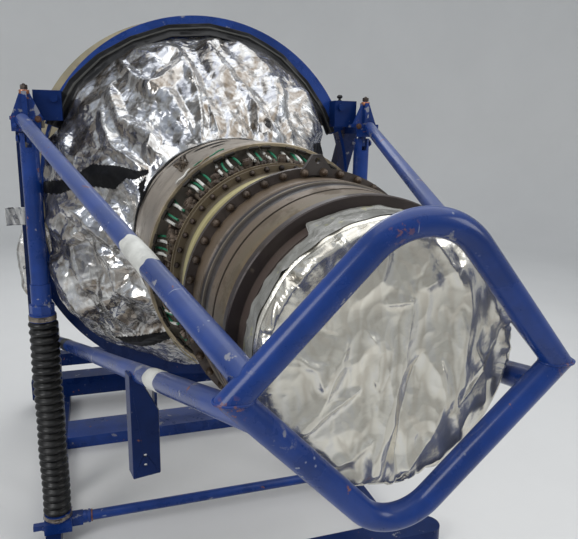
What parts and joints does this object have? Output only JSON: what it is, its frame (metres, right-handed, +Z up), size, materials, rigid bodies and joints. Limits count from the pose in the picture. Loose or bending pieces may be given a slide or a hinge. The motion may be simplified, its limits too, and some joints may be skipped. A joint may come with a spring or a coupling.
{
  "type": "gas turbine",
  "caption": "Gas turbine with an olive fan case, bagged in foil, standing in a blue tube stand with a kite-shaped guard round its exhaust end.",
  "frame": {"origin": "on the floor, under the centre of the object's bounding box, in the engine's vertical centre plane", "axes": "+Z up; the engine axis lies along Y, with the intake towards +Y and the exhaust end and its guard towards -Y; +X to the right of somebody who faces the exhaust end"},
  "size_m": [1.6398, 2.883, 2.034],
  "materials": {
    "blue_paint": "worn gloss enamel",
    "dark_blue_paint": "gloss enamel in shade",
    "olive_case": "satin",
    "heat_tinted_case": "satin, heat tinted",
    "golden_case": "satin, heat tinted",
    "dark_flange": "dark scale",
    "foil_film": "crumpled aluminised film",
    "white_tube": "matte",
    "green_tube": "matte",
    "bellows_rubber": "matte"
  },
  "bodies": {
    "root": {"fan_case": "olive_case", "intake_bag": "foil_film", "duct_case": "heat_tinted_case", "core_case": "heat_tinted_case", "recess_body": "dark_flange", "stub_tubes_white": "white_tube", "stub_tubes_green": "green_tube", "combustor_case": "golden_case", "large_flange": "dark_flange", "lifting_lug": "dark_flange", "turbine_case": "heat_tinted_case", "exhaust_case": "heat_tinted_case", "duct_bag": "foil_film", "exhaust_bag": "foil_film", "arch": "blue_paint", "cradle": "dark_blue_paint", "arch_bracket_left": "dark_blue_paint", "arch_bracket_right": "dark_blue_paint", "head_left": "blue_paint", "head_right": "blue_paint", "post_left": "dark_blue_paint", "post_right": "dark_blue_paint", "strut_left": "blue_paint", "strut_right": "blue_paint", "bellows_left": "bellows_rubber", "bellows_right": "bellows_rubber", "foot_left": "blue_paint", "foot_right": "blue_paint", "tie_rod": "blue_paint", "guard_upper": "blue_paint", "guard_lower": "blue_paint", "brace_left": "blue_paint", "brace_right": "blue_paint", "side_tube_left": "blue_paint", "side_tube_right": "blue_paint", "bracket_left": "blue_paint", "bracket_right": "blue_paint", "rail_left": "dark_blue_paint", "rail_right": "dark_blue_paint", "front_beam": "dark_blue_paint", "middle_beam": "blue_paint", "rear_beam": "dark_blue_paint", "upper_beam": "dark_blue_paint", "rear_leg_left": "dark_blue_paint", "rear_leg_right": "dark_blue_paint"}
  },
  "joints": []
}
